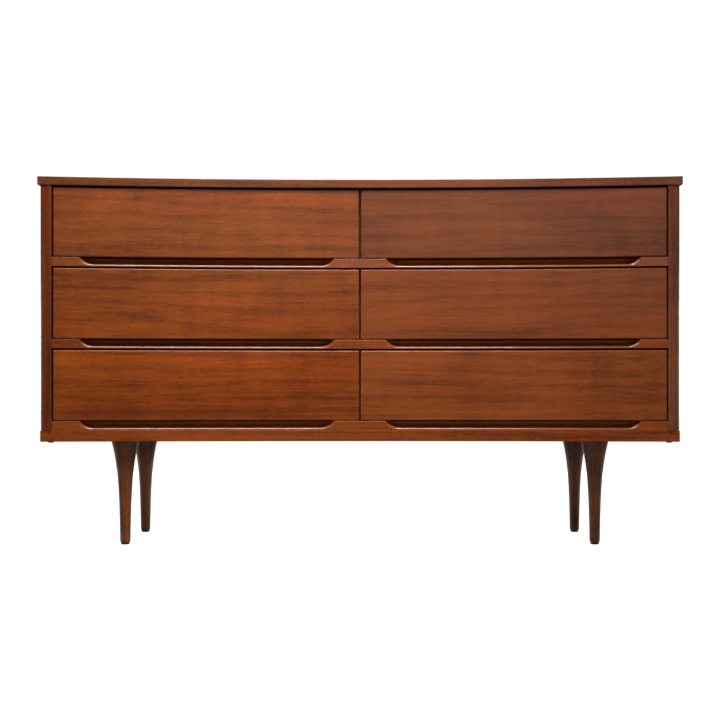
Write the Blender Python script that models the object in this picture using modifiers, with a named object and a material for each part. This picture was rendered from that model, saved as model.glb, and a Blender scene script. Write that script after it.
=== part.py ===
"""A six-drawer dresser with a hollow curved front.

The walnut case stands on four turned, flared legs. Each of its three rows holds two drawers,
pulled by the carved scoops in the rail below them, and every drawer runs on a centre guide.
Metres, +Z up. The front faces -Y, and z = 0 is the floor.
"""

import math

import bmesh
import bpy
from mathutils import Matrix, Vector

# Overall sizes
OVERALL_WIDTH = 1.372
OVERALL_DEPTH = 0.457
OVERALL_HEIGHT = 0.790
LEG_HEIGHT = 0.225  # floor to the underside of the case
FRONT_HOLLOW = 0.050  # how far the middle of the front lies behind its ends

# Fits
TOUCH = 0.0003  # between pieces that touch
FRONT_SIDE_GAP = 0.003  # drawer front to side panel
FRONT_MIDDLE_GAP = 0.004  # between the two fronts of a row
GAP_ABOVE_FRONT = 0.004
GAP_BELOW_FRONT = 0.0015
BOX_SIDE_GAP = 0.003  # drawer box to side panel or divider
BOX_RAIL_GAP = 0.001  # drawer box to the rail it runs on
BOX_TOP_GAP = 0.020
BOX_REAR_GAP = 0.020
FRONT_TO_DIVIDER_GAP = 0.0025
GUIDE_GAP = 0.0015  # drawer back to its centre guide

# Boards of the case
TOP_THICKNESS = 0.018
TOP_FRONT_OVERHANG = 0.005
TOP_SIDE_OVERHANG = 0.005
BOTTOM_THICKNESS = 0.024
SIDE_THICKNESS = 0.024
DIVIDER_THICKNESS = 0.020
BACK_THICKNESS = 0.005
BACK_INSET = 0.002
RABBET_WIDTH = 0.010
EDGE_RADIUS = 0.002  # rounded edges of the top and bottom boards
OUTER_ARRIS_RADIUS = 0.006  # front outer corner of a side panel
INNER_ARRIS_RADIUS = 0.0015

# Rails, their finger scoops, and the guides
RAIL_HEIGHT = 0.0195
RAIL_DEPTH = 0.075  # at the middle of the front, where the rail is narrowest
REAR_RAIL_DEPTH = 0.040
SCOOP_MARGIN = 0.0555  # from the end of a drawer front to the end of its scoop
SCOOP_DEPTH = 0.028
SCOOP_LIP = 0.005  # wood left under the scoop
SCOOP_RADIUS = 0.0115
SCOOP_CLEAR = 0.025  # how far the scoop's cutter stands out of the rail
GUIDE_WIDTH = 0.022
GUIDE_RISE = 0.008  # above the rail

# Drawers
TOP_ROW_DROP = 0.003  # how much lower the top row's fronts are than the others
FRONT_THICKNESS = 0.020
FRONT_EDGE_RADIUS = 0.0015
BOX_THICKNESS = 0.012
BOX_BOTTOM_THICKNESS = 0.005
BOX_BOTTOM_LIFT = 0.016  # underside of the bottom panel above the box's lower edge
GROOVE_DEPTH = 0.005

# Legs
LEG_INSET_SIDE = 0.175  # leg axis from the end of the top
LEG_INSET_DEPTH = 0.0785  # leg axis from the front and back edges of the top
LEG_FOOT_RADIUS = 0.0109
LEG_TAPER = 0.0053  # added to the radius in proportion to the height
LEG_FLARE = 0.0135  # added to it near the top
FLARE_POWER = 4
STUD_RADIUS = 0.004
STUD_IN_LEG = 0.032
STUD_IN_BOARD = 0.015
GLIDE_HEIGHT = 0.005
GLIDE_RADIUS = 0.0095
GLIDE_CHAMFER = 0.0015

# Fineness
ARC_STEP = 0.06  # longest chord on the curved front
CORNER_STEPS = 3
SCOOP_STEPS = 4
TURNED_STEPS = 24
LEG_RINGS = 12
FLAT_ANGLE = 1e-3  # in radians, well under the turn between two chords of the front

# Colour, roughness and metallic value of each kind of piece
WALNUT = ((0.27, 0.075, 0.024), 0.35, 0.0)
DARK_WALNUT = ((0.11, 0.045, 0.022), 0.40, 0.0)
DRAWER_WOOD = ((0.52, 0.36, 0.20), 0.60, 0.0)
HARDBOARD = ((0.20, 0.11, 0.055), 0.80, 0.0)
STEEL = ((0.55, 0.55, 0.56), 0.35, 1.0)
DARK_NYLON = ((0.02, 0.018, 0.016), 0.45, 0.0)

# What follows from the sizes above
CASE_HALF = OVERALL_WIDTH / 2 - TOP_SIDE_OVERHANG
INNER_HALF = CASE_HALF - SIDE_THICKNESS
BACK_Y = OVERALL_DEPTH / 2
BACK_PANEL_Y = BACK_Y - BACK_INSET - BACK_THICKNESS  # its inner face
FRONT_RADIUS = (CASE_HALF**2 + FRONT_HOLLOW**2) / (2 * FRONT_HOLLOW)
FRONT_CENTRE_Y = -OVERALL_DEPTH / 2 - math.sqrt(
    (FRONT_RADIUS - TOP_FRONT_OVERHANG) ** 2 - (OVERALL_WIDTH / 2) ** 2
)
RAIL_BACK_Y = FRONT_CENTRE_Y + FRONT_RADIUS + RAIL_DEPTH
REAR_RAIL_Y = BACK_PANEL_Y - TOUCH - REAR_RAIL_DEPTH
BOTTOM_TOP = LEG_HEIGHT + BOTTOM_THICKNESS
TOP_UNDERSIDE = OVERALL_HEIGHT - TOP_THICKNESS

ROWS = ("lower", "middle", "upper")
HANDS = {"left": -1, "right": 1}
ROW_GAPS = RAIL_HEIGHT + GAP_BELOW_FRONT + GAP_ABOVE_FRONT
FRONT_HEIGHT = (
    TOP_UNDERSIDE - BOTTOM_TOP - TOUCH - len(ROWS) * ROW_GAPS + TOP_ROW_DROP
) / len(ROWS)
RAIL_BOTTOM = [BOTTOM_TOP + TOUCH + row * (ROW_GAPS + FRONT_HEIGHT) for row in range(len(ROWS))]
OPENING_TOP = RAIL_BOTTOM[1:] + [TOP_UNDERSIDE]


def front_y(x, behind=0.0):
    """The y of the curved front at x, or of the parallel curve this far behind it."""
    return FRONT_CENTRE_Y + math.sqrt((FRONT_RADIUS + behind) ** 2 - x * x)


def front_curve(x_from, x_to, behind=0.0):
    """Points along the curved front, or along a curve parallel to it."""
    steps = max(2, math.ceil(abs(x_to - x_from) / ARC_STEP))
    xs = [x_from + (x_to - x_from) * step / steps for step in range(steps + 1)]
    return [(x, front_y(x, behind)) for x in xs]


def quarter_turn(centre_x, centre_y, radius, start):
    """Points of a rounded corner, anticlockwise from the start angle in degrees."""
    angles = [math.radians(start + 90 * step / CORNER_STEPS) for step in range(CORNER_STEPS + 1)]
    return [(centre_x + radius * math.cos(a), centre_y + radius * math.sin(a)) for a in angles]


def clear_scene():
    for obj in list(bpy.data.objects):
        bpy.data.objects.remove(obj, do_unlink=True)


def new_collection(name):
    collection = bpy.data.collections.new(name)
    bpy.context.scene.collection.children.link(collection)
    return collection


def mesh_object(name, form, collection, origin=Vector()):
    """An object from a bmesh in world coordinates, with its origin at the given point."""
    bmesh.ops.translate(form, verts=form.verts, vec=-origin)
    mesh = bpy.data.meshes.new(name)
    form.to_mesh(mesh)
    form.free()
    obj = bpy.data.objects.new(name, mesh)
    obj.location = origin
    collection.objects.link(obj)
    return obj


def extruded(outline, low, high):
    """A bmesh of a flat outline extruded upwards from one height to another."""
    curve = bpy.data.curves.new("outline", "CURVE")
    curve.dimensions = "2D"
    curve.fill_mode = "BOTH"
    curve.extrude = (high - low) / 2
    spline = curve.splines.new("POLY")
    spline.points.add(len(outline) - 1)
    spline.use_cyclic_u = True
    for point, (x, y) in zip(spline.points, outline):
        point.co = (x, y, 0, 1)
    flat = bpy.data.objects.new("outline", curve)
    bpy.context.scene.collection.objects.link(flat)
    evaluated = flat.evaluated_get(bpy.context.evaluated_depsgraph_get())
    mesh = bpy.data.meshes.new_from_object(evaluated)
    form = bmesh.new()
    form.from_mesh(mesh)
    bpy.data.objects.remove(flat)
    bpy.data.curves.remove(curve)
    bpy.data.meshes.remove(mesh)
    bmesh.ops.remove_doubles(form, verts=form.verts, dist=1e-6)
    bmesh.ops.dissolve_limit(form, angle_limit=FLAT_ANGLE, verts=form.verts, edges=form.edges)
    bmesh.ops.translate(form, verts=form.verts, vec=(0, 0, (low + high) / 2))
    bmesh.ops.recalc_face_normals(form, faces=form.faces)
    return form


def block(low, high):
    """A bmesh box between two corners."""
    low = Vector(low)
    high = Vector(high)
    form = bmesh.new()
    size = high - low
    bmesh.ops.create_cube(form, size=1, matrix=Matrix.Diagonal(size).to_4x4())
    bmesh.ops.translate(form, verts=form.verts, vec=(low + high) / 2)
    return form


def turned(name, profile, collection, origin):
    """A piece turned about Z from a profile of (radius, height) points."""
    form = bmesh.new()
    points = [form.verts.new((radius, 0, height)) for radius, height in profile]
    for first, second in zip(points, points[1:]):
        form.edges.new((first, second))
    obj = mesh_object(name, form, collection)
    obj.location = origin
    screw = obj.modifiers.new("turn", "SCREW")
    screw.steps = TURNED_STEPS
    screw.render_steps = TURNED_STEPS
    screw.use_merge_vertices = True
    screw.merge_threshold = 1e-5
    screw.use_smooth_shade = True
    return obj


def round_edges(obj, radius, segments):
    bevel = obj.modifiers.new("round_edges", "BEVEL")
    bevel.width = radius
    bevel.segments = segments
    bevel.limit_method = "ANGLE"
    bevel.angle_limit = math.radians(50)


def cut(obj, cutter):
    """Cuts one object out of another, which keeps the cut as a modifier."""
    cutter.hide_render = True
    cutter.display_type = "WIRE"
    boolean = obj.modifiers.new("cut_" + cutter.name, "BOOLEAN")
    boolean.operation = "DIFFERENCE"
    boolean.solver = "EXACT"
    boolean.object = cutter


def finish(obj, look):
    """Gives an object its own material."""
    colour, roughness, metallic = look
    material = bpy.data.materials.new(obj.name)
    material.use_nodes = True
    shader = material.node_tree.nodes["Principled BSDF"]
    shader.inputs["Base Color"].default_value = (*colour, 1)
    shader.inputs["Roughness"].default_value = roughness
    shader.inputs["Metallic"].default_value = metallic
    obj.data.materials.append(material)


def board(name, half_width, overhang, low, high, parts):
    """A top or bottom board, with a curved front edge and a straight back."""
    outline = front_curve(-half_width, half_width, -overhang)
    outline += [(half_width, BACK_Y), (-half_width, BACK_Y)]
    origin = Vector((0, 0, low))
    obj = mesh_object(name, extruded(outline, low, high), parts, origin)
    round_edges(obj, EDGE_RADIUS, 2)
    finish(obj, WALNUT)
    return obj


def side_panel(hand, parts):
    """A side panel with rounded front corners, and a rabbet for the back panel."""
    front = front_y(CASE_HALF)
    outer = OUTER_ARRIS_RADIUS
    inner = INNER_ARRIS_RADIUS
    rabbet_x = INNER_HALF + RABBET_WIDTH
    rabbet_y = BACK_PANEL_Y - TOUCH
    outline = quarter_turn(INNER_HALF + inner, front + inner, inner, 180)
    outline += quarter_turn(CASE_HALF - outer, front + outer, outer, 270)
    outline += [(CASE_HALF, BACK_Y), (rabbet_x, BACK_Y), (rabbet_x, rabbet_y), (INNER_HALF, rabbet_y)]
    outline = [(HANDS[hand] * x, y) for x, y in outline]
    low = BOTTOM_TOP + TOUCH
    origin = Vector((HANDS[hand] * CASE_HALF, 0, low))
    form = extruded(outline, low, TOP_UNDERSIDE - TOUCH)
    finish(mesh_object(f"side_panel_{hand}", form, parts, origin), WALNUT)


def centre_divider(parts):
    """The upright between the two columns of drawers, notched round the rails that cross it."""
    low = BOTTOM_TOP + TOUCH
    high = TOP_UNDERSIDE - TOUCH
    front = front_y(0, FRONT_THICKNESS) + FRONT_TO_DIVIDER_GAP
    rear = BACK_PANEL_Y - TOUCH
    notch_front = RAIL_BACK_Y + TOUCH
    notch_rear = REAR_RAIL_Y - TOUCH
    outline = [(notch_front, low), (notch_front, RAIL_BOTTOM[0] + RAIL_HEIGHT + TOUCH)]
    for bottom in RAIL_BOTTOM[1:]:
        notch = (bottom - TOUCH, bottom + RAIL_HEIGHT + TOUCH)
        outline += [(front, outline[-1][1]), (front, notch[0])]
        outline += [(notch_front, height) for height in notch]
    outline += [(front, outline[-1][1]), (front, high), (rear, high)]
    for bottom in reversed(RAIL_BOTTOM[1:]):
        notch = (bottom + RAIL_HEIGHT + TOUCH, bottom - TOUCH)
        outline += [(rear, notch[0]), (notch_rear, notch[0])]
        outline += [(notch_rear, notch[1]), (rear, notch[1])]
    outline.append((rear, low))
    form = extruded(outline, -DIVIDER_THICKNESS / 2, DIVIDER_THICKNESS / 2)
    upright = Matrix(((0, 0, 1), (1, 0, 0), (0, 1, 0)))
    bmesh.ops.transform(form, matrix=upright.to_4x4(), verts=form.verts)
    finish(mesh_object("centre_divider", form, parts, Vector((0, 0, low))), DRAWER_WOOD)


def back_panel(parts):
    half = INNER_HALF + RABBET_WIDTH - TOUCH
    low = (-half, BACK_PANEL_Y, BOTTOM_TOP + TOUCH)
    high = (half, BACK_PANEL_Y + BACK_THICKNESS, TOP_UNDERSIDE - TOUCH)
    finish(mesh_object("back_panel", block(low, high), parts, Vector((0, BACK_PANEL_Y, low[2]))), HARDBOARD)


def front_span(hand):
    """The left and right ends of a drawer front."""
    near = FRONT_MIDDLE_GAP / 2
    far = INNER_HALF - FRONT_SIDE_GAP
    return (near, far) if HANDS[hand] > 0 else (-far, -near)


def box_span(hand):
    """The left and right faces of a drawer box."""
    near = DIVIDER_THICKNESS / 2 + BOX_SIDE_GAP
    far = INNER_HALF - BOX_SIDE_GAP
    return (near, far) if HANDS[hand] > 0 else (-far, -near)


def scoop_cutter(row, hand, cutters):
    """The hollow that a finger reaches under a drawer front by: its back and ends sweep up."""
    left, right = front_span(hand)
    left += SCOOP_MARGIN
    right -= SCOOP_MARGIN
    outline = front_curve(left, right, -SCOOP_CLEAR)
    outline += front_curve(right, left, SCOOP_DEPTH)
    low = RAIL_BOTTOM[row] + SCOOP_LIP
    form = extruded(outline, low, RAIL_BOTTOM[row] + RAIL_HEIGHT + SCOOP_LIP)
    lowest = [edge for edge in form.edges if all(abs(v.co.z - low) < TOUCH for v in edge.verts)]
    rim = [edge for edge in lowest if edge.calc_face_angle(0) > 1]
    bmesh.ops.bevel(form, geom=rim, offset=SCOOP_RADIUS, segments=SCOOP_STEPS, profile=0.5, affect="EDGES")
    return mesh_object(f"scoop_{ROWS[row]}_{hand}", form, cutters)


def drawer_rail(row, parts, cutters):
    """The rail under a row of drawers, in one length from side to side."""
    half = INNER_HALF - TOUCH
    outline = front_curve(-half, half)
    outline += [(half, RAIL_BACK_Y), (-half, RAIL_BACK_Y)]
    low = RAIL_BOTTOM[row]
    form = extruded(outline, low, low + RAIL_HEIGHT)
    obj = mesh_object(f"drawer_rail_{ROWS[row]}", form, parts, Vector((0, 0, low)))
    for hand in HANDS:
        cut(obj, scoop_cutter(row, hand, cutters))
    finish(obj, WALNUT)


def rear_rail(row, parts):
    low = (-INNER_HALF + TOUCH, REAR_RAIL_Y, RAIL_BOTTOM[row])
    high = (INNER_HALF - TOUCH, REAR_RAIL_Y + REAR_RAIL_DEPTH, RAIL_BOTTOM[row] + RAIL_HEIGHT)
    obj = mesh_object(f"rear_rail_{ROWS[row]}", block(low, high), parts, Vector((0, low[1], low[2])))
    finish(obj, DRAWER_WOOD)


def drawer_guide(row, hand, parts):
    """The bar from front rail to rear rail that a drawer runs on. The lowest lies on the bottom board."""
    middle = sum(box_span(hand)) / 2
    rear = (BACK_PANEL_Y if row == 0 else REAR_RAIL_Y) - TOUCH
    low = (middle - GUIDE_WIDTH / 2, RAIL_BACK_Y + TOUCH, RAIL_BOTTOM[row])
    high = (middle + GUIDE_WIDTH / 2, rear, RAIL_BOTTOM[row] + RAIL_HEIGHT + GUIDE_RISE)
    name = f"drawer_guide_{ROWS[row]}_{hand}"
    finish(mesh_object(name, block(low, high), parts, Vector((middle, low[1], low[2]))), DRAWER_WOOD)


def bottom_panel_form(row, hand, grow):
    """A drawer's bottom panel, or with grow above 0 the space for it in the grooves."""
    left, right = box_span(hand)
    reach = BOX_THICKNESS - GROOVE_DEPTH + TOUCH - grow
    rear = BACK_PANEL_Y - BOX_REAR_GAP - reach
    low = RAIL_BOTTOM[row] + RAIL_HEIGHT + BOX_RAIL_GAP + BOX_BOTTOM_LIFT
    outline = front_curve(left + reach, right - reach, FRONT_THICKNESS - GROOVE_DEPTH + TOUCH - grow)
    outline += [(right - reach, rear), (left + reach, rear)]
    return extruded(outline, low - grow, low + BOX_BOTTOM_THICKNESS + grow)


def drawer(row, hand, parts, cutters):
    """A drawer: its curved front and the four pieces of its box, on an empty that slides along Y."""
    place = f"{ROWS[row]}_{hand}"
    front_left, front_right = front_span(hand)
    left, right = box_span(hand)
    rail_top = RAIL_BOTTOM[row] + RAIL_HEIGHT
    low = rail_top + BOX_RAIL_GAP
    high = OPENING_TOP[row] - BOX_TOP_GAP
    rear = BACK_PANEL_Y - BOX_REAR_GAP
    inner_left = left + BOX_THICKNESS
    inner_right = right - BOX_THICKNESS
    middle = (left + right) / 2
    origin = Vector((middle, front_y(middle), rail_top))

    slide = bpy.data.objects.new(f"drawer_{place}", None)
    slide.location = origin
    slide.empty_display_size = BOX_THICKNESS
    parts.objects.link(slide)

    outline = front_curve(front_left, front_right)
    outline += front_curve(front_right, front_left, FRONT_THICKNESS)
    form = extruded(outline, rail_top + GAP_BELOW_FRONT, OPENING_TOP[row] - GAP_ABOVE_FRONT)
    front = mesh_object(f"drawer_front_{place}", form, parts, origin)
    round_edges(front, FRONT_EDGE_RADIUS, 2)
    finish(front, WALNUT)

    walls = []
    for name, outer, inner in (("left", left, inner_left), ("right", right, inner_right)):
        outline = [(x, front_y(x, FRONT_THICKNESS) + TOUCH) for x in (outer, inner)]
        outline += [(inner, rear), (outer, rear)]
        form = extruded(outline, low, high)
        walls.append(mesh_object(f"drawer_side_{place}_{name}", form, parts, origin))

    notch_half = GUIDE_WIDTH / 2 + GUIDE_GAP
    notch_top = rail_top + GUIDE_RISE + GUIDE_GAP
    outline = [(inner_left + TOUCH, low), (middle - notch_half, low), (middle - notch_half, notch_top)]
    outline += [(middle + notch_half, notch_top), (middle + notch_half, low), (inner_right - TOUCH, low)]
    outline += [(inner_right - TOUCH, high), (inner_left + TOUCH, high)]
    form = extruded(outline, 0, BOX_THICKNESS)
    bmesh.ops.rotate(form, verts=form.verts, matrix=Matrix.Rotation(math.pi / 2, 3, "X"))
    bmesh.ops.translate(form, verts=form.verts, vec=(0, rear, 0))
    walls.append(mesh_object(f"drawer_back_{place}", form, parts, origin))

    panel = mesh_object(f"drawer_bottom_{place}", bottom_panel_form(row, hand, 0), parts, origin)
    groove = mesh_object(f"groove_{place}", bottom_panel_form(row, hand, TOUCH), cutters)
    cut(front, groove)
    for wall in walls:
        cut(wall, groove)
        finish(wall, DRAWER_WOOD)
    finish(panel, DRAWER_WOOD)
    for piece in (front, panel, *walls):
        piece.parent = slide
        piece.location = (0, 0, 0)


def leg_outline():
    """The leg's profile from the stud's bore, over the flared top and down to the foot."""
    top = LEG_HEIGHT - TOUCH
    foot = GLIDE_HEIGHT + TOUCH
    bore = STUD_RADIUS + TOUCH
    outline = [(0, top - STUD_IN_LEG), (bore, top - STUD_IN_LEG), (bore, top)]
    for ring in range(LEG_RINGS + 1):
        share = 1 - ring / LEG_RINGS
        radius = LEG_FOOT_RADIUS + LEG_TAPER * share + LEG_FLARE * share**FLARE_POWER
        outline.append((radius, foot + (top - foot) * share))
    return outline + [(0, foot)]


def leg(name, x, y, base, parts, cutters):
    """A leg, the glide under it, and the stud that holds it to the bottom board."""
    origin = Vector((x, y, 0))
    finish(turned(f"leg_{name}", leg_outline(), parts, origin), DARK_WALNUT)

    rim = GLIDE_RADIUS - GLIDE_CHAMFER
    outline = [(0, GLIDE_HEIGHT), (GLIDE_RADIUS, GLIDE_HEIGHT), (GLIDE_RADIUS, GLIDE_CHAMFER), (rim, 0), (0, 0)]
    finish(turned(f"leg_glide_{name}", outline, parts, origin), DARK_NYLON)

    low = LEG_HEIGHT - STUD_IN_LEG
    high = LEG_HEIGHT + STUD_IN_BOARD
    outline = [(0, high), (STUD_RADIUS, high), (STUD_RADIUS, low), (0, low)]
    finish(turned(f"leg_stud_{name}", outline, parts, origin), STEEL)

    form = bmesh.new()
    radius = STUD_RADIUS + TOUCH
    length = 2 * (STUD_IN_BOARD + TOUCH)
    bmesh.ops.create_cone(
        form, cap_ends=True, segments=TURNED_STEPS, radius1=radius, radius2=radius, depth=length
    )
    hole = mesh_object(f"stud_hole_{name}", form, cutters)
    hole.location = (x, y, LEG_HEIGHT)
    cut(base, hole)


def build():
    clear_scene()
    parts = new_collection("dresser")
    cutters = new_collection("cutters")
    board("top_board", OVERALL_WIDTH / 2, TOP_FRONT_OVERHANG, TOP_UNDERSIDE, OVERALL_HEIGHT, parts)
    base = board("bottom_board", CASE_HALF, 0.0, LEG_HEIGHT, BOTTOM_TOP, parts)
    centre_divider(parts)
    back_panel(parts)
    for hand in HANDS:
        side_panel(hand, parts)
    for row in range(len(ROWS)):
        drawer_rail(row, parts, cutters)
        if row > 0:
            rear_rail(row, parts)
        for hand in HANDS:
            drawer_guide(row, hand, parts)
            drawer(row, hand, parts, cutters)
    leg_y = OVERALL_DEPTH / 2 - LEG_INSET_DEPTH
    leg_x = OVERALL_WIDTH / 2 - LEG_INSET_SIDE
    for hand, sign in HANDS.items():
        leg(f"front_{hand}", sign * leg_x, -leg_y, base, parts, cutters)
        leg(f"rear_{hand}", sign * leg_x, leg_y, base, parts, cutters)


build()
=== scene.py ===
"""The looks of the six-drawer walnut dresser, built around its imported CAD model.

Every place comes from the model's own boxes. Metres, +Z up; the front faces -Y.
"""

import math

import bmesh
import bpy
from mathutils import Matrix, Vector


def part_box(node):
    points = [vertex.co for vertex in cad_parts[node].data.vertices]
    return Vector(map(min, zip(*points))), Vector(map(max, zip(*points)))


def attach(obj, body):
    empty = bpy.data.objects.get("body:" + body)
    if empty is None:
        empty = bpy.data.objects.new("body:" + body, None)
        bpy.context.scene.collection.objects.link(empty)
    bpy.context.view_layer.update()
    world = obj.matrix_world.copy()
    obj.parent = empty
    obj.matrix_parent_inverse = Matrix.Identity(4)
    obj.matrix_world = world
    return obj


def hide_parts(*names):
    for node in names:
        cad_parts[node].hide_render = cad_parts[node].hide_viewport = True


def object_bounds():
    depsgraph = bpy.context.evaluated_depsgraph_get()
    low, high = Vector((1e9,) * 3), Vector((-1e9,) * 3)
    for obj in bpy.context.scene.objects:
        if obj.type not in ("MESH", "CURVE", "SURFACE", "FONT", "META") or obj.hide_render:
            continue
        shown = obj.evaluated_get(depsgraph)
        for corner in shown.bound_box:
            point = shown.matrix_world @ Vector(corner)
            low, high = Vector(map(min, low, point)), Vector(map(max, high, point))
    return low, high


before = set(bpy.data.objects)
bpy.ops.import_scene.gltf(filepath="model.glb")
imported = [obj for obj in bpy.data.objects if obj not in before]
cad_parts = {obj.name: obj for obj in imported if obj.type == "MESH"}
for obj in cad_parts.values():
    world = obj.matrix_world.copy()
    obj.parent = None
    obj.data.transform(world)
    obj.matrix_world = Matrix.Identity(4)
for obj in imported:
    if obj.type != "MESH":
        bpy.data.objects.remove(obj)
cad_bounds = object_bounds()

ROWS = ("lower", "middle", "upper")
HANDS = {"left": -1, "right": 1}
ENDS = ("front", "rear")

# Sizes that the boxes don't give
FRONT_THICKNESS = 0.020
TOP_FRONT_OVERHANG = 0.005
RABBET_WIDTH = 0.010
LEG_FOOT_RADIUS = 0.0109
LEG_TAPER = 0.0053
LEG_FLARE = 0.0135
FLARE_POWER = 4
GLIDE_EDGE = 0.0022
BUMPER_RADIUS = 0.0070
BUMPER_INSET = 0.019  # from the end of the bottom board
BUMPER_DEPTH = 0.017  # from its front edge
NAIL_INSET = 0.006  # from the back panel's edges
NAIL_SPACING = 0.11
NAIL_RIM = ((0.0027, 0.0), (0.0027, 0.0004), (0.0020, 0.0008), (0.0, 0.0009))  # (radius, height)

# How far the corners and edges are rounded
OUTER_ARRIS = 0.006  # front outer corner of a side panel
INNER_ARRIS = 0.0030
SIDE_ARRIS = 0.0008
BOARD_ARRIS = 0.0014
BOARD_BACK_ARRIS = 0.001
BOTTOM_FOOT_ARRIS = 0.0018
BOTTOM_TOP_ARRIS = 0.0006
BOTTOM_END_ARRIS = 0.0012
PANEL_ARRIS = 0.0005
FRONT_ARRIS = 0.0021
FRONT_BACK_ARRIS = 0.0008
BOX_ARRIS = 0.0009

# The rails and the scoops in them
RAIL_ARRIS = 0.0009  # along the top of a rail
LIP_ARRIS = 0.0040  # along the lips of its scoops
SCOOP_END_ARRIS = 0.0060  # at their ends
ARRIS_GROWTH = 7  # how many times sooner than the lip the arris reaches its full width
RAIL_FOOT_ARRIS = {"lower": 0.0004, "middle": 0.0008, "upper": 0.0008}
SCOOP_MARGIN = 0.0555  # from the end of a drawer front to the end of its scoop
SCOOP_DEPTH = 0.028
SCOOP_LIP = 0.005
SCOOP_FLOOR_SAG = 0.0007  # of the hollow's floor below the lip
SCOOP_BACK_SWEEP = 0.0115  # radius from the hollow's floor to its back
SCOOP_END_TURN = 0.0036  # radius at the top of a scoop's end
SCOOP_END_STEEP = math.radians(48)
SCOOP_END_PULLS = (0.0075, 0.0165)  # how far the end's curve runs on at its steep and at its level end
SCOOP_END_LENGTH = 0.030
BOWL_END_LENGTH = 0.018  # over which the hollow behind the lip reaches its full depth
FOOT_STEP = 0.00012  # least step along the rail between the feet of two sections at a scoop's end

# How finely things are made
STATION = 0.018  # longest step along the curved front
ARC_STEPS = 5
SCOOP_TURN_STEPS = 6
SCOOP_CURVE_STEPS = 14
TURNED_STEPS = 64
LEG_RINGS = 40
SHARP_ANGLE = math.radians(32)
BEVEL_ANGLE = math.radians(40)
BEVEL_SEGMENTS = 2
SAME_PLACE = 2e-6
WELD_DISTANCE = 1e-5


# ---------------------------------------------------------------- the curved front

rail_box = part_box("drawer_rail_middle")
front_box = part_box("drawer_front_middle_left")
middle_y = front_box[1].y - FRONT_THICKNESS
hollow = middle_y - rail_box[0].y
FRONT_RADIUS = (rail_box[1].x ** 2 + hollow**2) / (2 * hollow)
FRONT_CENTRE_Y = middle_y - FRONT_RADIUS
RAIL_DROP = rail_box[1].z - rail_box[0].z - SCOOP_LIP


def front_y(x, behind=0.0):
    """The y of the curved front at x, or of the parallel curve this far behind it."""
    return FRONT_CENTRE_Y + math.sqrt((FRONT_RADIUS + behind) ** 2 - x * x)


def spread(start, stop, step=STATION):
    """Evenly spaced numbers from start to stop, both included."""
    count = max(1, math.ceil(abs(stop - start) / step))
    return [start + (stop - start) * i / count for i in range(count + 1)]


# ---------------------------------------------------------------- mesh making


def new_piece(name, form, body, look, replaced=()):
    """An object from a bmesh in the row frame, which rides on a body and stands for some CAD nodes."""
    bmesh.ops.recalc_face_normals(form, faces=form.faces)
    mesh = bpy.data.meshes.new(name)
    form.to_mesh(mesh)
    form.free()
    mesh.polygons.foreach_set("use_smooth", [True] * len(mesh.polygons))
    mesh.set_sharp_from_angle(angle=SHARP_ANGLE)
    mesh.materials.append(look)
    obj = bpy.data.objects.new(name, mesh)
    bpy.context.scene.collection.objects.link(obj)
    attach(obj, body)
    if replaced:
        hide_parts(*replaced)
    return obj


def even_normals(obj):
    """Keeps flat faces flat in shading beside their rounded edges."""
    weighted = obj.modifiers.new("even_normals", "WEIGHTED_NORMAL")
    weighted.keep_sharp = True


def soften(obj, width):
    """Rounds an object's edges with a modifier."""
    bevel = obj.modifiers.new("soften", "BEVEL")
    bevel.width = width
    bevel.segments = BEVEL_SEGMENTS
    bevel.limit_method = "ANGLE"
    bevel.angle_limit = BEVEL_ANGLE
    even_normals(obj)


def join_loops(form, first, second):
    """Faces between two closed loops of as many verts."""
    count = len(first)
    for i in range(count):
        j = (i + 1) % count
        form.faces.new((first[i], first[j], second[j], second[i]))


def loft(sections, wear_and_highlight=None):
    """A closed bmesh through a row of sections, each a closed loop of as many (x, y, z) points.
    The last argument has one list per section, of how much paler wood each point shows: partly wear, partly a
    painted highlight."""
    form = bmesh.new()
    highlight_and_wear_layer = form.verts.layers.float.new("wear_and_highlight")
    loops = [[form.verts.new(point) for point in section] for section in sections]
    if wear_and_highlight:
        for loop, shares in zip(loops, wear_and_highlight):
            for vert, share in zip(loop, shares):
                vert[highlight_and_wear_layer] = share
    for first, second in zip(loops, loops[1:]):
        join_loops(form, first, second)
    form.faces.new(loops[0][::-1])
    form.faces.new(loops[-1])
    bmesh.ops.remove_doubles(form, verts=form.verts, dist=SAME_PLACE)
    return form


def circle(x, y, radius, steps):
    """Points on a whole circle."""
    turns = [2 * math.pi * i / steps for i in range(steps)]
    return [(x + radius * math.cos(a), y + radius * math.sin(a)) for a in turns]


def turned(profile, x, y, steps=TURNED_STEPS):
    """A closed bmesh turned about a vertical axis from (radius, height) points."""
    sections = [[(px, py, height) for px, py in circle(x, y, radius, steps)] for radius, height in profile]
    return loft(sections)


def arc(cy, cz, radius, start, stop, steps=ARC_STEPS):
    """Points on an arc, both ends included. Angles are in degrees."""
    angles = [math.radians(start + (stop - start) * i / steps) for i in range(steps + 1)]
    return [(cy + radius * math.cos(a), cz + radius * math.sin(a)) for a in angles]


def rounded_section(y0, y1, z0, z1, radii):
    """A rectangle's outline with rounded corners: front low, rear low, rear high and front high."""
    front_low, rear_low, rear_high, front_high = radii
    points = arc(y0 + front_low, z0 + front_low, front_low, 180, 270)
    points += arc(y1 - rear_low, z0 + rear_low, rear_low, 270, 360)
    points += arc(y1 - rear_high, z1 - rear_high, rear_high, 0, 90)
    points += arc(y0 + front_high, z1 - front_high, front_high, 90, 180)
    return points


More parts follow.
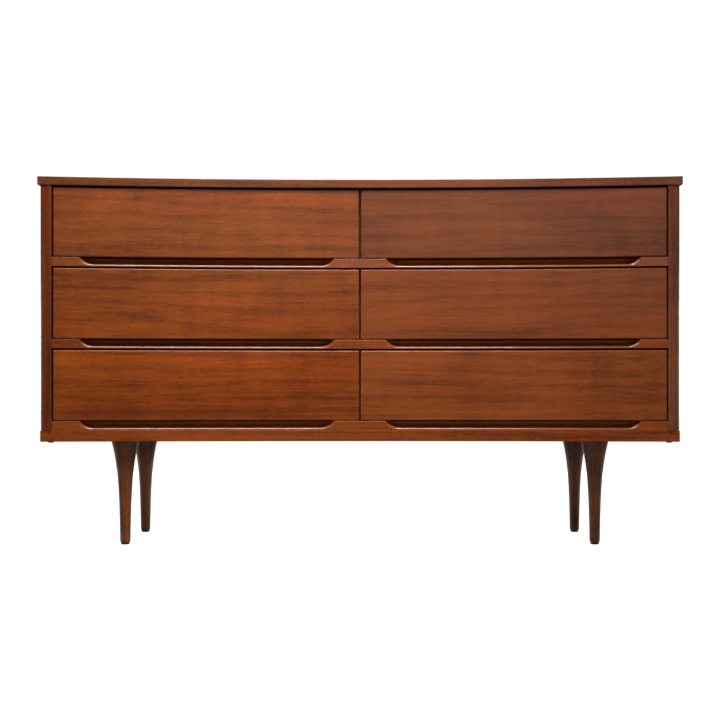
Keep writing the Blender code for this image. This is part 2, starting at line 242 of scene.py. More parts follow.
def bar(x0, x1, front, back, z0, z1, radii, end_arris):
    """A board along x whose front and back follow functions of x, rounded along edges and ends.
    Its front edges are painted paler, the top one most: partly wear, partly a painted highlight."""
    stations = []
    for i in range(ARC_STEPS + 1):
        turn = math.radians(90 * i / ARC_STEPS)
        stations.append((end_arris * (1 - math.cos(turn)), end_arris * (1 - math.sin(turn))))
    rounded_x0 = [(x0 + along, inset) for along, inset in stations]
    rounded_x1 = [(x1 - along, inset) for along, inset in reversed(stations)]
    between = [(x, 0.0) for x in spread(x0 + end_arris, x1 - end_arris)[1:-1]]
    sections = []
    for x, inset in rounded_x0 + between + rounded_x1:
        smaller = [max(radius - inset, 0.0) for radius in radii]
        outline = rounded_section(front(x) + inset, back(x) - inset, z0 + inset, z1 - inset, smaller)
        sections.append([(x, y, z) for y, z in outline])
    # Paler wood on the front edges, most on the top one: partly wear, partly a painted highlight.
    lightly_worn_and_lit = [0.0] + [0.4] * (ARC_STEPS - 1) + [0.0]
    worn_and_highlit = [0.0] + [1.0] * (ARC_STEPS - 1) + [0.0]
    kept = [0.0] * (ARC_STEPS + 1)
    shares = lightly_worn_and_lit + kept + kept + worn_and_highlit
    return loft(sections, [shares] * len(sections))


# ---------------------------------------------------------------- rails and their scoops


def bezier(t, p0, p1, p2, p3):
    """The place and the slope at t on a cubic curve."""
    u = 1 - t
    place = u**3 * p0 + 3 * u**2 * t * p1 + 3 * u * t**2 * p2 + t**3 * p3
    slope = 3 * u**2 * (p1 - p0) + 6 * u * t * (p2 - p1) + 3 * t**2 * (p3 - p2)
    return place, slope


def scoop_end():
    """The line of a scoop's lip at one end, up to where it is level, as (along, drop, slope's angle).
    Along is measured inward from the scoop's end, and drop down from the rail's top."""
    turn = SCOOP_END_TURN
    points = []
    for i in range(SCOOP_TURN_STEPS + 1):
        angle = SCOOP_END_STEEP * i / SCOOP_TURN_STEPS
        points.append((-turn * 0.5 + turn * math.sin(angle), turn * (1 - math.cos(angle)), angle))
    start = Vector(points[-1][:2])
    stop = Vector((SCOOP_END_LENGTH, RAIL_DROP))
    steep_pull, level_pull = SCOOP_END_PULLS
    steep = Vector((math.cos(SCOOP_END_STEEP), math.sin(SCOOP_END_STEEP)))
    for i in range(1, SCOOP_CURVE_STEPS + 1):
        t = i / SCOOP_CURVE_STEPS
        place, slope = bezier(t, start, start + steep_pull * steep, stop - Vector((level_pull, 0.0)), stop)
        points.append((place.x, place.y, math.atan2(slope.y, slope.x)))
    return points


def trough(height):
    """(depth, height above the rail's foot) from the lip over the hollow's floor and up its back."""
    floor = SCOOP_LIP - SCOOP_FLOOR_SAG
    sweep = SCOOP_BACK_SWEEP
    points = [(0.0050, floor + 0.0003), (0.0090, floor), (SCOOP_DEPTH - sweep, floor)]
    points += arc(SCOOP_DEPTH - sweep, floor + sweep, sweep, 285, 360)
    return points + [(SCOOP_DEPTH, height - 0.0008), (SCOOP_DEPTH + 0.0002, height - 0.0002)]


def lip_reach(along, drop, start):
    """How far along a scoop's end a place is, from 0 outside the scoop to 1 where the lip is level."""
    return min(1.0, max(0.0, (along - start) / (SCOOP_END_LENGTH - start))) if drop > 0 else 0.0


def lip_arris(reach):
    """How wide the arris is there: widest soon after the scoop's end, then narrower toward the lip."""
    narrowing_from = 0.2
    narrowed = max(0.0, reach - narrowing_from) / (1 - narrowing_from)
    widest = SCOOP_END_ARRIS + (LIP_ARRIS - SCOOP_END_ARRIS) * narrowed
    return RAIL_ARRIS + (widest - RAIL_ARRIS) * min(1.0, ARRIS_GROWTH * reach)


def scoop_end_with_leans():
    """The points of scoop_end, each with how far outward of it the arris' foot lies.
    The row of feet is kept from folding back on itself."""
    points = []
    line = scoop_end()
    start = line[0][0]
    foot = start - RAIL_ARRIS
    for along, drop, angle in line:
        lean = min(math.sin(angle) * lip_arris(lip_reach(along, drop, start)), along - foot - FOOT_STEP)
        foot = along - lean
        points.append((along, drop, angle, lean))
    return points


def plain_stations(places):
    """Sections of a rail where it has no scoop."""
    return [(x, 0.0, 0.0, 0.0, 0.0) for x in places]


def rail_stations(row, low_x, high_x, lip_end):
    """(x, drop, slope's angle, distance into a scoop's end, lean) of each section of a rail.
    They go from left to right."""
    stations = plain_stations([low_x])
    spans = []
    for hand in HANDS:
        low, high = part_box(f"drawer_front_{row}_{hand}")
        spans.append((low.x + SCOOP_MARGIN, high.x - SCOOP_MARGIN))
    reached = low_x
    for left, right in sorted(spans):
        stations += plain_stations(spread(reached, left + lip_end[0][0])[1:-1])
        rising = [(left + a, drop, angle, a, lean) for a, drop, angle, lean in lip_end]
        falling = [(right - a, drop, -angle, a, -lean) for a, drop, angle, lean in reversed(lip_end)]
        between = spread(rising[-1][0], falling[0][0])[1:-1]
        level = [(x, RAIL_DROP, 0.0, SCOOP_END_LENGTH, 0.0) for x in between]
        stations += rising + level + falling
        reached = falling[-1][0]
    return stations + plain_stations(spread(reached, high_x)[1:])


def rail_form(name, row):
    """A rail with its scoops, whose front arris widens at each scoop's end."""
    low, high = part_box(name)
    height = high.z - low.z
    foot = RAIL_FOOT_ARRIS[row]
    lip_end = scoop_end_with_leans()
    sections = []
    wear_and_highlight = []
    for x, drop, angle, along, lean in rail_stations(row, low.x, high.x, lip_end):
        reach = lip_reach(along, drop, lip_end[0][0])
        bowl = min(1.0, reach * SCOOP_END_LENGTH / BOWL_END_LENGTH)
        opened = math.sqrt(1 - (1 - bowl) ** 2)
        arris = lip_arris(reach)
        edge_x = min(max(x - lean, low.x), high.x)
        section = [(edge_x, high.y, low.z)]
        for depth, up in reversed(arc(foot, foot, foot, 180, 270)):
            section.append((edge_x, front_y(edge_x) + depth, low.z + up))
        shares = [0.0] * len(section)
        for i in range(ARC_STEPS + 2):
            turn = math.radians(90 * i / (ARC_STEPS + 1))
            inset = arris * (1 - math.sin(turn))
            px = min(max(x - lean * inset / arris, low.x), high.x)
            depth = arris * (1 - math.cos(turn))
            section.append((px, front_y(px) + depth, high.z - drop - math.cos(angle) * inset))
            at_end = i in (0, ARC_STEPS + 1)
            # Paler wood along the arris, most at the scoops' rims: partly wear, partly a painted highlight.
            shares.append(0.0 if at_end else 0.2 + 0.8 * min(1.0, ARRIS_GROWTH * reach))
        for depth, up in trough(height):
            place = arris + (max(depth, arris + 0.0004) - arris) * opened
            section.append((x, front_y(x) + place, high.z - (height - up) * drop / RAIL_DROP))
        rim = arris + (SCOOP_DEPTH - arris + 0.0008) * opened
        section += [(x, front_y(x) + rim, high.z), (x, high.y, high.z)]
        sections.append(section)
        wear_and_highlight.append(shares + [0.0] * (len(section) - len(shares)))
    return loft(sections, wear_and_highlight)


# ---------------------------------------------------------------- procedural materials


class Graph:
    """Short forms for a material's nodes and links."""

    def __init__(self, name):
        self.material = bpy.data.materials.new(name)
        self.material.use_nodes = True
        self.tree = self.material.node_tree
        self.shader = self.tree.nodes["Principled BSDF"]
        self.place = self.tree.nodes.new("ShaderNodeTexCoord").outputs["Object"]

    def node(self, kind, settings=(), inputs=()):
        made = self.tree.nodes.new(kind)
        for key, value in dict(settings).items():
            setattr(made, key, value)
        for key, value in dict(inputs).items():
            if isinstance(value, bpy.types.NodeSocket):
                self.tree.links.new(value, made.inputs[key])
            else:
                made.inputs[key].default_value = value
        return made

    def math(self, operation, first, second=0.0, third=0.0):
        inputs = {0: first, 1: second, 2: third}
        return self.node("ShaderNodeMath", {"operation": operation}, inputs).outputs[0]

    def weighted(self, source, weight, total):
        """The total plus how far the source is from a half, times a weight."""
        return self.math("MULTIPLY_ADD", self.math("SUBTRACT", source, 0.5), weight, total)

    def mapped(self, source, scale=(1, 1, 1), location=(0, 0, 0), rotation=(0, 0, 0)):
        inputs = {"Vector": source, "Scale": scale, "Location": location, "Rotation": rotation}
        return self.node("ShaderNodeMapping", {}, inputs).outputs[0]

    def noise(self, source, scale, detail=2.0, roughness=0.5):
        """Noise of the source, squeezed by a factor on each axis."""
        place = self.mapped(source, scale)
        inputs = {"Vector": place, "Scale": 1.0, "Detail": detail, "Roughness": roughness}
        return self.node("ShaderNodeTexNoise", {}, inputs).outputs[0]

    def span(self, value, from_low, from_high, to_low=0.0, to_high=1.0, smooth=False):
        inputs = {0: value, 1: from_low, 2: from_high, 3: to_low, 4: to_high}
        kind = {"interpolation_type": "SMOOTHSTEP" if smooth else "LINEAR"}
        return self.node("ShaderNodeMapRange", kind, inputs).outputs[0]

    def ramp(self, value, stops):
        """A colour ramp of (position, (r, g, b)) stops."""
        made = self.node("ShaderNodeValToRGB", {}, {0: value})
        elements = made.color_ramp.elements
        while len(elements) < len(stops):
            elements.new(0.5)
        for element, (position, colour) in zip(elements, stops):
            element.position = position
            element.color = (*colour, 1)
        return made.outputs[0]

    def mix(self, factor, first, second, kind="MIX"):
        made = self.node("ShaderNodeMix", {"data_type": "RGBA", "blend_type": kind}, {0: factor})
        for key, value in ((6, first), (7, second)):
            if isinstance(value, bpy.types.NodeSocket):
                self.tree.links.new(value, made.inputs[key])
            else:
                made.inputs[key].default_value = (*value, 1)
        return made.outputs[2]

    def axes(self, source):
        return self.node("ShaderNodeSeparateXYZ", {}, {0: source}).outputs

    def finish(self, colour, roughness, bump=None, strength=0.2, depth=0.0002, **uniform):
        self.tree.links.new(colour, self.shader.inputs["Base Color"])
        self.tree.links.new(roughness, self.shader.inputs["Roughness"])
        for key, value in uniform.items():
            self.shader.inputs[key.replace("_", " ")].default_value = value
        if bump is not None:
            inputs = {"Height": bump, "Strength": strength, "Distance": depth}
            made = self.node("ShaderNodeBump", {}, inputs)
            self.tree.links.new(made.outputs[0], self.shader.inputs["Normal"])
        return self.material


def shade(colour, factor):
    return tuple(channel * factor for channel in colour)


ALONG_X = (0, 0, 0)
ALONG_Y = (0, 0, math.radians(90))
ALONG_Z = (0, math.radians(90), 0)


def walnut(
    name,
    tint,
    grain=ALONG_X,
    seed=0.0,
    contrast=1.0,
    figured=4.0,
    seam=None,
    coat=0.2,
    coat_rough=0.20,
    painted_shade=None,
):
    """Oiled and lacquered walnut. The grain runs along one axis of the row frame.
    figured bends its growth rings into arches, and seam is the height of a joint between two leaves
    of veneer, the lower one darker. Marked arrises show paler wood: partly wear, partly a painted highlight.
    The last argument is (low, high, share): between the two heights a painted shade builds up to that share
    of the colour."""
    g = Graph(name)
    wood = g.mapped(g.place, rotation=grain, location=(seed, 0.37 * seed, 0.61 * seed))
    x, y, z = g.axes(wood)
    warp = g.math("MULTIPLY_ADD", g.noise(wood, (1.6, 3, 6), 2), 0.034, -0.017)
    bent = g.node("ShaderNodeCombineXYZ", {}, {0: x, 1: g.math("ADD", y, warp), 2: g.math("ADD", z, warp)})
    bent = bent.outputs[0]
    lie = g.math("MULTIPLY_ADD", g.noise(wood, (1.0, 1.5, 3.6), 1.5), figured, g.math("MULTIPLY", z, 30.0))
    lie = g.math("MULTIPLY_ADD", g.noise(wood, (5, 9, 34), 2), 0.9, lie)
    rings = g.math("MULTIPLY_ADD", g.math("SINE", g.math("MULTIPLY", lie, 2 * math.pi)), 0.5, 0.5)
    rings = g.math("POWER", rings, 2.6)
    bands = g.noise(bent, (0.8, 16, 24), 2, 0.5)
    streaks = g.noise(bent, (2.2, 110, 190), 3, 0.55)
    fibres = g.noise(bent, (22, 620, 900), 2, 0.6)
    pores = g.noise(bent, (55, 1300, 1700), 1, 0.5)
    cloud = g.noise(wood, (3.2, 5.5, 8.5), 3, 0.55)
    ripple = g.noise(wood, (34, 9, 6), 2, 0.5)
    mottle = g.noise(wood, (130, 170, 170), 2, 0.6)
    value = 0.5
    layers = ((bands, 0.60), (streaks, 0.75), (fibres, 0.60), (cloud, 1.05), (ripple, 0.36), (mottle, 0.62))
    for layer, weight in layers:
        value = g.weighted(layer, weight * contrast, value)
    value = g.math("MULTIPLY_ADD", rings, -0.17 * contrast, value)
    steps = ((0.08, 0.55), (0.30, 0.82), (0.48, 1.0), (0.66, 1.18), (0.92, 1.45))
    colour = g.ramp(value, [(position, shade(tint, factor)) for position, factor in steps])
    redder = g.mix(1.0, colour, (1.02, 0.92, 0.98), "MULTIPLY")
    colour = g.mix(g.span(g.noise(wood, (1.1, 2.6, 4.5), 2), 0.42, 0.62, smooth=True), colour, redder)
    colour = g.mix(g.span(pores, 0.64, 0.76, 0.0, 0.55), colour, shade(tint, 0.22))
    wear_and_highlight = g.node("ShaderNodeAttribute", {"attribute_name": "wear_and_highlight"}).outputs["Fac"]
    patchy = g.math("MULTIPLY", wear_and_highlight, g.span(g.noise(g.place, (22, 5, 5), 2), 0.3, 0.65, 0.3, 0.8))
    # Paler, greyer wood on the marked arrises: partly wear, partly a painted highlight.
    colour = g.mix(patchy, colour, (tint[0] * 0.92, tint[1] * 1.05, tint[2] * 1.5))
    if seam:
        below = g.span(g.axes(g.place)[2], seam - 0.0006, seam + 0.0006, 0.16, 0.0)
        colour = g.mix(below, colour, shade(tint, 0.45))
    # Painted shade: between two heights the colour darkens, as under the case.
    if painted_shade:
        low, high, share = painted_shade
        darker = g.span(g.axes(g.place)[2], low, high, 0.0, share, smooth=True)
        colour = g.mix(darker, colour, shade(tint, 0.1))
    rough = g.math("MULTIPLY_ADD", streaks, 0.10, 0.19)
    rough = g.math("MULTIPLY_ADD", cloud, 0.08, rough)
    relief = g.math("MULTIPLY_ADD", pores, -0.5, fibres)
    uniform = {"Coat_Weight": coat, "Coat_Roughness": coat_rough, "Specular_IOR_Level": 0.32}
    return g.finish(colour, rough, relief, 0.07, 0.00018, **uniform)


def pale_wood(name, tint, grain, seed=0.0, rough=0.5, stretch=1.0):
    """The plain hardwood of drawer boxes, and with broader bands (a smaller stretch) a plywood's face."""
    g = Graph(name)
    wood = g.mapped(g.place, rotation=grain, location=(seed, 0.4 * seed, 0.7 * seed))
    bands = g.noise(wood, (1.4, 14 * stretch, 18 * stretch), 3, 0.55)
    streaks = g.noise(wood, (5, 150, 190), 4, 0.6)
    pores = g.noise(wood, (60, 1300, 1700), 1)
    value = g.weighted(streaks, 0.7, g.weighted(bands, 1.1, 0.5))
    stops = [(0.15, shade(tint, 0.62)), (0.5, tint), (0.85, shade(tint, 1.22))]
    colour = g.mix(g.span(pores, 0.62, 0.75, 0.0, 0.4), g.ramp(value, stops), shade(tint, 0.4))
    roughness = g.math("MULTIPLY_ADD", streaks, 0.2, rough)
    return g.finish(colour, roughness, streaks, 0.25, 0.0003, Specular_IOR_Level=0.35)


def hardboard(name):
    """Brown pressed fibre board, smooth with fine flecks."""
    g = Graph(name)
    flecks = g.noise(g.place, (420, 420, 420), 3, 0.7)
    cloud = g.noise(g.place, (3, 3, 3), 3)
    stops = [(0.25, (0.060, 0.030, 0.014)), (0.5, (0.125, 0.066, 0.031)), (0.75, (0.19, 0.108, 0.055))]
    colour = g.ramp(g.weighted(cloud, 0.9, flecks), stops)
    rough = g.math("MULTIPLY_ADD", flecks, 0.25, 0.55)
    return g.finish(colour, rough, flecks, 0.3, 0.0002)


def nylon(name):
    """Dark, scuffed nylon."""
    g = Graph(name)
    grain = g.noise(g.place, (900, 900, 900), 2)
    scuffs = g.noise(g.place, (60, 60, 240), 3)
    colour = g.ramp(scuffs, [(0.3, (0.012, 0.010, 0.009)), (0.7, (0.036, 0.030, 0.026))])
    return g.finish(colour, g.math("MULTIPLY_ADD", scuffs, 0.3, 0.3), grain, 0.2, 0.0001)


def steel(name):
    """Plain steel with fine worn rings."""
    g = Graph(name)
    turns = g.noise(g.place, (30, 30, 2600), 2)
    colour = g.ramp(turns, [(0.3, (0.36, 0.35, 0.34)), (0.7, (0.62, 0.61, 0.60))])
    return g.finish(colour, g.math("MULTIPLY_ADD", turns, 0.25, 0.25), turns, 0.3, 0.0002, Metallic=1.0)


# Base colours, in linear light
# The right fronts' greyer, bluer tints partly paint in a cool sheen.
FRONT_TINTS = {
    ("upper", "left"): (0.248, 0.057, 0.0060),
    ("upper", "right"): (0.200, 0.049, 0.0110),
    ("middle", "left"): (0.270, 0.058, 0.0045),
    ("middle", "right"): (0.255, 0.061, 0.0090),
    ("lower", "left"): (0.305, 0.062, 0.0040),
    ("lower", "right"): (0.300, 0.067, 0.0110),
}
FRONT_CONTRAST = {"left": 1.15, "right": 0.9}
FIGURED = {"upper": 4.5, "middle": 7.0, "lower": 2.0}
SEAM_HEIGHT = 0.346  # of a joint between leaves of veneer on the lower left front
# The right side's greyer, bluer tint paints in a sheen.
SIDE_TINTS = {"left": (0.170, 0.034, 0.0030), "right": (0.210, 0.065, 0.0280)}
TOP_TINT = (0.200, 0.052, 0.009)
RAIL_TINTS = {
    "upper": (0.280, 0.062, 0.008),
    "middle": (0.262, 0.053, 0.005),
    "lower": (0.300, 0.064, 0.005),
}
RAIL_SEEDS = {"lower": 21.0, "middle": 23.7, "upper": 27.1}
BOTTOM_TINT = (0.300, 0.062, 0.005)
# The legs are of one wood; their tints differ to paint in how each is lit, the front right one darker as
# painted shade.
LEG_LIT_TINTS = {
    "front_left": (0.235, 0.066, 0.0105),
    "front_right": (0.120, 0.036, 0.009),
    "rear_left": (0.230, 0.085, 0.026),
    "rear_right": (0.200, 0.070, 0.026),
}
# How far each leg's top is darkened, as painted shade under the case.
LEG_PAINTED_SHADE = {"front_left": 0.58, "front_right": 0.08, "rear_left": 0.55, "rear_right": 0.35}
PAINTED_SHADE_HEIGHTS = (0.075, 0.035)  # below a leg's top: where the painted shade under the case begins, and where it is full
LEG_SEEDS = {"front_left": 31.0, "front_right": 33.6, "rear_left": 35.0, "rear_right": 37.9}
BOX_TINT = (0.46, 0.30, 0.15)
PLYWOOD_TINT = (0.50, 0.35, 0.19)


# ---------------------------------------------------------------- the case


def flat(y):
    """A straight front or back, for bar."""
    return lambda x: y


def curved(behind):
    """A front or back parallel to the curved front and this far behind it, for bar."""
    return lambda x: front_y(x, behind)


def make_boards():
    low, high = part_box("top_board")
    front = curved(-TOP_FRONT_OVERHANG)
    arrises = (BOARD_ARRIS, BOARD_BACK_ARRIS, BOARD_BACK_ARRIS, BOARD_ARRIS)
    form = bar(low.x, high.x, front, flat(high.y), low.z, high.z, arrises, BOARD_ARRIS)
    look = walnut("walnut_top_board", TOP_TINT, seed=3.1)
    even_normals(new_piece("dresser_top", form, "case", look, ["top_board"]))

    low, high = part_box("bottom_board")
    arrises = (BOTTOM_FOOT_ARRIS, BOARD_BACK_ARRIS, BOTTOM_TOP_ARRIS, BOTTOM_TOP_ARRIS)
    form = bar(low.x, high.x, front_y, flat(high.y), low.z, high.z, arrises, BOTTOM_END_ARRIS)
    look = walnut("walnut_bottom_board", BOTTOM_TINT, seed=7.7)
    even_normals(new_piece("dresser_bottom", form, "case", look, ["bottom_board"]))


def make_sides():
    rabbet_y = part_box("back_panel")[0].y - 0.0003
    for hand, sign in HANDS.items():
        low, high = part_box(f"side_panel_{hand}")
        outer = max(abs(low.x), abs(high.x))
        inner = min(abs(low.x), abs(high.x))
        front = low.y
        outline = arc(inner + INNER_ARRIS, front + INNER_ARRIS, INNER_ARRIS, 180, 270)
        outline += arc(outer - OUTER_ARRIS, front + OUTER_ARRIS, OUTER_ARRIS, 270, 360, 10)
        outline += [(outer, high.y), (inner + RABBET_WIDTH, high.y)]
        outline += [(inner + RABBET_WIDTH, rabbet_y), (inner, rabbet_y)]
        sections = [[(sign * x, y, z) for x, y in outline] for z in (low.z, high.z)]
        look = walnut(f"walnut_side_{hand}", SIDE_TINTS[hand], ALONG_Z, seed=11.3 + sign)
        form = loft(sections)
        side = new_piece(f"dresser_side_{hand}", form, "case", look, [f"side_panel_{hand}"])
        soften(side, SIDE_ARRIS)


def make_back():
    """The back panel and the small nails round its edge and down its middle."""
    low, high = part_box("back_panel")
    form = bar(low.x, high.x, flat(low.y), flat(high.y), low.z, high.z, (PANEL_ARRIS,) * 4, PANEL_ARRIS)
    look = hardboard("hardboard_back")
    even_normals(new_piece("dresser_back", form, "case", look, ["back_panel"]))
    heads = bmesh.new()
    left, right = low.x + NAIL_INSET, high.x - NAIL_INSET
    bottom, top = low.z + NAIL_INSET, high.z - NAIL_INSET
    spots = [(x, z) for x in spread(left, right, NAIL_SPACING) for z in (bottom, top)]
    spots += [(x, z) for x in (left, right, 0.0) for z in spread(bottom, top, NAIL_SPACING)[1:-1]]
    for x, z in spots:
        rings = []
        for radius, out in NAIL_RIM:
            points = [(px, high.y + out, pz) for px, pz in circle(x, z, radius, 16)]
            rings.append([heads.verts.new(point) for point in points])
        for first, second in zip(rings, rings[1:]):
            join_loops(heads, first, second)
        heads.faces.new(rings[0][::-1])
    bmesh.ops.remove_doubles(heads, verts=heads.verts, dist=SAME_PLACE)
    new_piece("dresser_back_nails", heads, "case", steel("steel_nail"))


def make_rails():
    for row in ROWS:
        name = f"drawer_rail_{row}"
        polish = {"contrast": 0.9, "coat": 0.45, "coat_rough": 0.10}
        look = walnut(f"walnut_rail_{row}", RAIL_TINTS[row], seed=RAIL_SEEDS[row], **polish)
        form = rail_form(name, row)
        even_normals(new_piece(f"rail_{row}", form, "case", look, [name]))


# ---------------------------------------------------------------- legs


def leg_profile(foot, top):
    """(radius, height) points of a leg that tapers down and flares at its top."""
    points = [(0.0, foot), (LEG_FOOT_RADIUS - 0.0012, foot), (LEG_FOOT_RADIUS - 0.0003, foot + 0.0004)]
    for ring in range(1, LEG_RINGS + 1):
        share = ring / LEG_RINGS
        radius = LEG_FOOT_RADIUS + LEG_TAPER * share + LEG_FLARE * share**FLARE_POWER
        points.append((radius, foot + (top - foot) * share))
    return points + [(0.0, top)]


def make_glide(place, look):
    low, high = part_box(f"leg_glide_{place}")
    middle = (low + high) / 2
    radius = (high.x - low.x) / 2
    profile = [(0.0, low.z), (radius - GLIDE_EDGE, low.z), (radius - 0.0008, low.z + 0.0004)]
    profile += [(radius, low.z + 0.0014), (radius, high.z - 0.0002), (radius - 0.0003, high.z), (0.0, high.z)]
    form = turned(profile, middle.x, middle.y, 48)
    new_piece(f"glide_{place}", form, "case", look, [f"leg_glide_{place}"])


def make_legs():
    glide_look = nylon("nylon_glide")
    for hand in HANDS:
        for end in ENDS:
            place = f"{end}_{hand}"
            low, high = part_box(f"leg_{place}")
            # The top of each leg is darkened as painted shade under the case.
            begins, full = PAINTED_SHADE_HEIGHTS
            under_case_shade = (high.z - begins, high.z - full, LEG_PAINTED_SHADE[place])
            tint, seed = LEG_LIT_TINTS[place], LEG_SEEDS[place]
            look = walnut(f"walnut_leg_{place}", tint, ALONG_Z, seed, 1.3, coat=0.1, painted_shade=under_case_shade)
            middle = (low + high) / 2
            form = turned(leg_profile(low.z, high.z), middle.x, middle.y)
            new_piece(f"turned_leg_{place}", form, "case", look, [f"leg_{place}"])
            make_glide(place, glide_look)


def make_bumpers():
    """Small dark bumpers under the case near its front corners."""
    look = nylon("nylon_bumper")
    low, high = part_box("bottom_board")
    radius = BUMPER_RADIUS
    profile = [(0.0, low.z - 0.0026), (radius * 0.55, low.z - 0.0024), (radius * 0.88, low.z - 0.0014)]
    profile += [(radius, low.z), (0.0, low.z)]
    for hand, sign in HANDS.items():
        x = sign * (high.x - BUMPER_INSET)
        form = turned(profile, x, front_y(x) + BUMPER_DEPTH, 32)
        new_piece(f"bumper_{hand}", form, "case", look)


# ---------------------------------------------------------------- drawers


def make_fronts():
    arrises = (FRONT_ARRIS, FRONT_BACK_ARRIS, FRONT_BACK_ARRIS, FRONT_ARRIS)
    back = curved(FRONT_THICKNESS)
    for r, row in enumerate(ROWS):
        for hand, sign in HANDS.items():
            place = f"{row}_{hand}"
            low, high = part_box(f"drawer_front_{place}")
            form = bar(low.x, high.x, front_y, back, low.z, high.z, arrises, FRONT_ARRIS)
            figure = {
                "seed": 41.0 + 5.3 * r + 2.9 * sign,
                "contrast": FRONT_CONTRAST[hand],
                "figured": FIGURED[row],
                "seam": SEAM_HEIGHT if place == "lower_left" else None,
            }
            look = walnut(f"walnut_front_{place}", FRONT_TINTS[row, hand], **figure)
            node = f"drawer_front_{place}"
            even_normals(new_piece(f"front_{place}", form, f"drawer_{place}", look, [node]))


def dress_nodes():
    """Gives the CAD nodes that stay in sight their materials and softer edges."""
    across = pale_wood("drawer_wood_across", BOX_TINT, ALONG_X, 2.0)
    along = pale_wood("drawer_wood_along", BOX_TINT, ALONG_Y, 5.0)
    # A darker copy of the box wood for the upright and other remaining nodes: painted shade, so the gap
    # between the fronts looks dark.
    upright = pale_wood("drawer_wood_painted_shade", shade(BOX_TINT, 0.3), ALONG_Z, 8.0)
    plywood = pale_wood("plywood_bottom", PLYWOOD_TINT, ALONG_X, 12.0, 0.55, 0.5)
    metal = steel("steel_stud")
    for name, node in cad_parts.items():
        if node.hide_render:
            continue
        if name.startswith(("drawer_side", "drawer_guide")):
            look, slot = along, "drawer_wood"
        elif name.startswith(("drawer_back", "rear_rail")):
            look, slot = across, "drawer_wood"
        elif name.startswith("drawer_bottom"):
            look, slot = plywood, "bottom_plywood"
        elif name.startswith("leg_stud"):
            look, slot = metal, "stud_steel"
        else:
            look, slot = upright, "drawer_wood"
        node.data.materials.clear()
        node.data.materials.append(look)
        if not name.startswith("leg_stud"):
            node.modifiers.new("weld", "WELD").merge_threshold = WELD_DISTANCE
            soften(node, BOX_ARRIS)


# ---------------------------------------------------------------- the studio


def make_floor():
    """A pale floor that looks evenly white to the camera, but throws little light back."""
    size = 40.0
    form = bmesh.new()
    corners = [(-size, -size), (size, -size), (size, size), (-size, size)]
    form.faces.new([form.verts.new((x, y, -0.0003)) for x, y in corners])
    mesh = bpy.data.meshes.new("floor")
    form.to_mesh(mesh)
    form.free()
    floor = bpy.data.objects.new("floor", mesh)
    bpy.context.scene.collection.objects.link(floor)
    material = bpy.data.materials.new("pale_floor")
    material.use_nodes = True
    tree = material.node_tree
    shader = tree.nodes["Principled BSDF"]
    shader.inputs["Base Color"].default_value = (0.30, 0.30, 0.30, 1)
    shader.inputs["Roughness"].default_value = 0.9
    shader.inputs["Specular IOR Level"].default_value = 0.0
    shader.inputs["Emission Color"].default_value = (1, 1, 1, 1)
    seen = tree.nodes.new("ShaderNodeLightPath").outputs["Is Camera Ray"]
    glow = tree.nodes.new("ShaderNodeMath")
    glow.operation = "MULTIPLY"
    glow.inputs[1].default_value = 0.975
    tree.links.new(seen, glow.inputs[0])
    tree.links.new(glow.outputs[0], shader.inputs["Emission Strength"])
    mesh.materials.append(material)


def make_world():
    """White to the camera, and dim to everything else."""
    world = bpy.data.worlds.new("studio")
    bpy.context.scene.world = world
    world.use_nodes = True
    tree = world.node_tree
    tree.nodes.clear()
    seen = tree.nodes.new("ShaderNodeLightPath").outputs["Is Camera Ray"]
    lit = tree.nodes.new("ShaderNodeBackground")
    lit.inputs[0].default_value = (0.90, 0.94, 1.0, 1)
    lit.inputs[1].default_value = 0.08
    white = tree.nodes.new("ShaderNodeBackground")
    white.inputs[0].default_value = (1, 1, 1, 1)
    white.inputs[1].default_value = 1.05
    mixed = tree.nodes.new("ShaderNodeMixShader")
    out = tree.nodes.new("ShaderNodeOutputWorld")
    tree.links.new(seen, mixed.inputs[0])
    tree.links.new(lit.outputs[0], mixed.inputs[1])
    tree.links.new(white.outputs[0], mixed.inputs[2])
    tree.links.new(mixed.outputs[0], out.inputs[0])


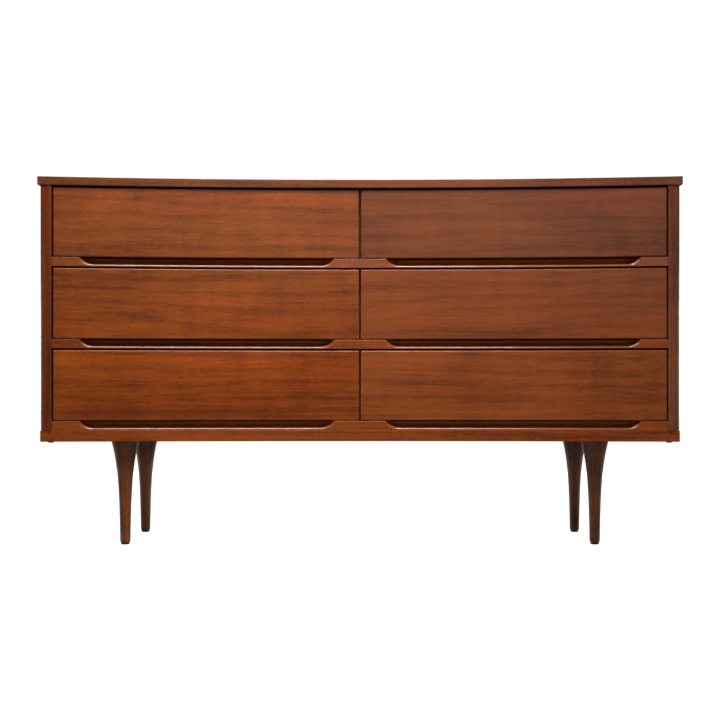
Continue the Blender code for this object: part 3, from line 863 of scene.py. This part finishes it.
def soft_light(name, place, target, width, height, power, colour, spread_angle=180):
    """A rectangular light, unseen by the camera, that points at a target."""
    data = bpy.data.lights.new(name, "AREA")
    data.shape = "RECTANGLE"
    data.size = width
    data.size_y = height
    data.energy = power
    data.color = colour
    data.spread = math.radians(spread_angle)
    light = bpy.data.objects.new(name, data)
    light.visible_camera = False
    light.location = place
    light.rotation_euler = (Vector(target) - Vector(place)).to_track_quat("-Z", "Y").to_euler()
    bpy.context.scene.collection.objects.link(light)


def make_lights():
    """Two soft lights above and in front, and faint cards where the hollow front mirrors the room.
    The others show the sides, the back and the top."""
    warm, neutral = (1.0, 0.96, 0.90), (1.0, 0.98, 0.96)
    side = (1.0, 0.97, 0.93)
    soft_light("overhead", (-0.14, -0.84, 2.14), (-0.10, -0.2, 0.48), 1.0, 0.42, 12.6, warm, 88)
    soft_light("front", (-0.10, -3.00, 2.10), (-0.10, -0.2, 0.25), 0.8, 0.5, 10, warm)
    soft_light("card_left", (-0.14, -3.2, 1.20), (-0.14, -0.2, 0.80), 0.30, 0.8, 0.85, (1.0, 0.92, 0.84))
    soft_light("card_right", (0.28, -3.2, 1.15), (0.28, -0.2, 0.75), 0.62, 1.1, 1.5, (0.88, 0.95, 1.0))
    for hand, sign in HANDS.items():
        soft_light(f"low_{hand}", (sign * 2.2, -2.5, 0.50), (0, -0.2, 0.25), 0.6, 0.5, 5.5, side)
        soft_light(f"end_{hand}", (sign * 3.3, 1.3, 0.45), (sign * 0.7, 0, 0.45), 1.4, 0.6, 50, side)
    soft_light("rear", (0.0, 3.2, 0.45), (0.0, 0.2, 0.45), 2.2, 0.6, 45, neutral)
    soft_light("top", (0.0, 0.9, 2.6), (0.0, 0.1, 0.3), 2.6, 1.2, 40, neutral)


def make_camera():
    """Level with the case's lower part, far enough back to see the front nearly square on."""
    low, high = cad_bounds
    data = bpy.data.cameras.new("camera")
    data.sensor_width = 36.0
    data.lens = 72.97
    data.shift_y = 0.0556
    camera = bpy.data.objects.new("camera", data)
    camera.location = ((low.x + high.x) / 2, low.y - 3.10, 0.314)
    camera.rotation_euler = (math.radians(90), 0, 0)
    bpy.context.scene.collection.objects.link(camera)
    bpy.context.scene.camera = camera


make_boards()
make_sides()
make_back()
make_rails()
make_legs()
make_bumpers()
make_fronts()
dress_nodes()
make_floor()
make_world()
make_lights()
make_camera()
bpy.context.scene.view_settings.view_transform = "Standard"
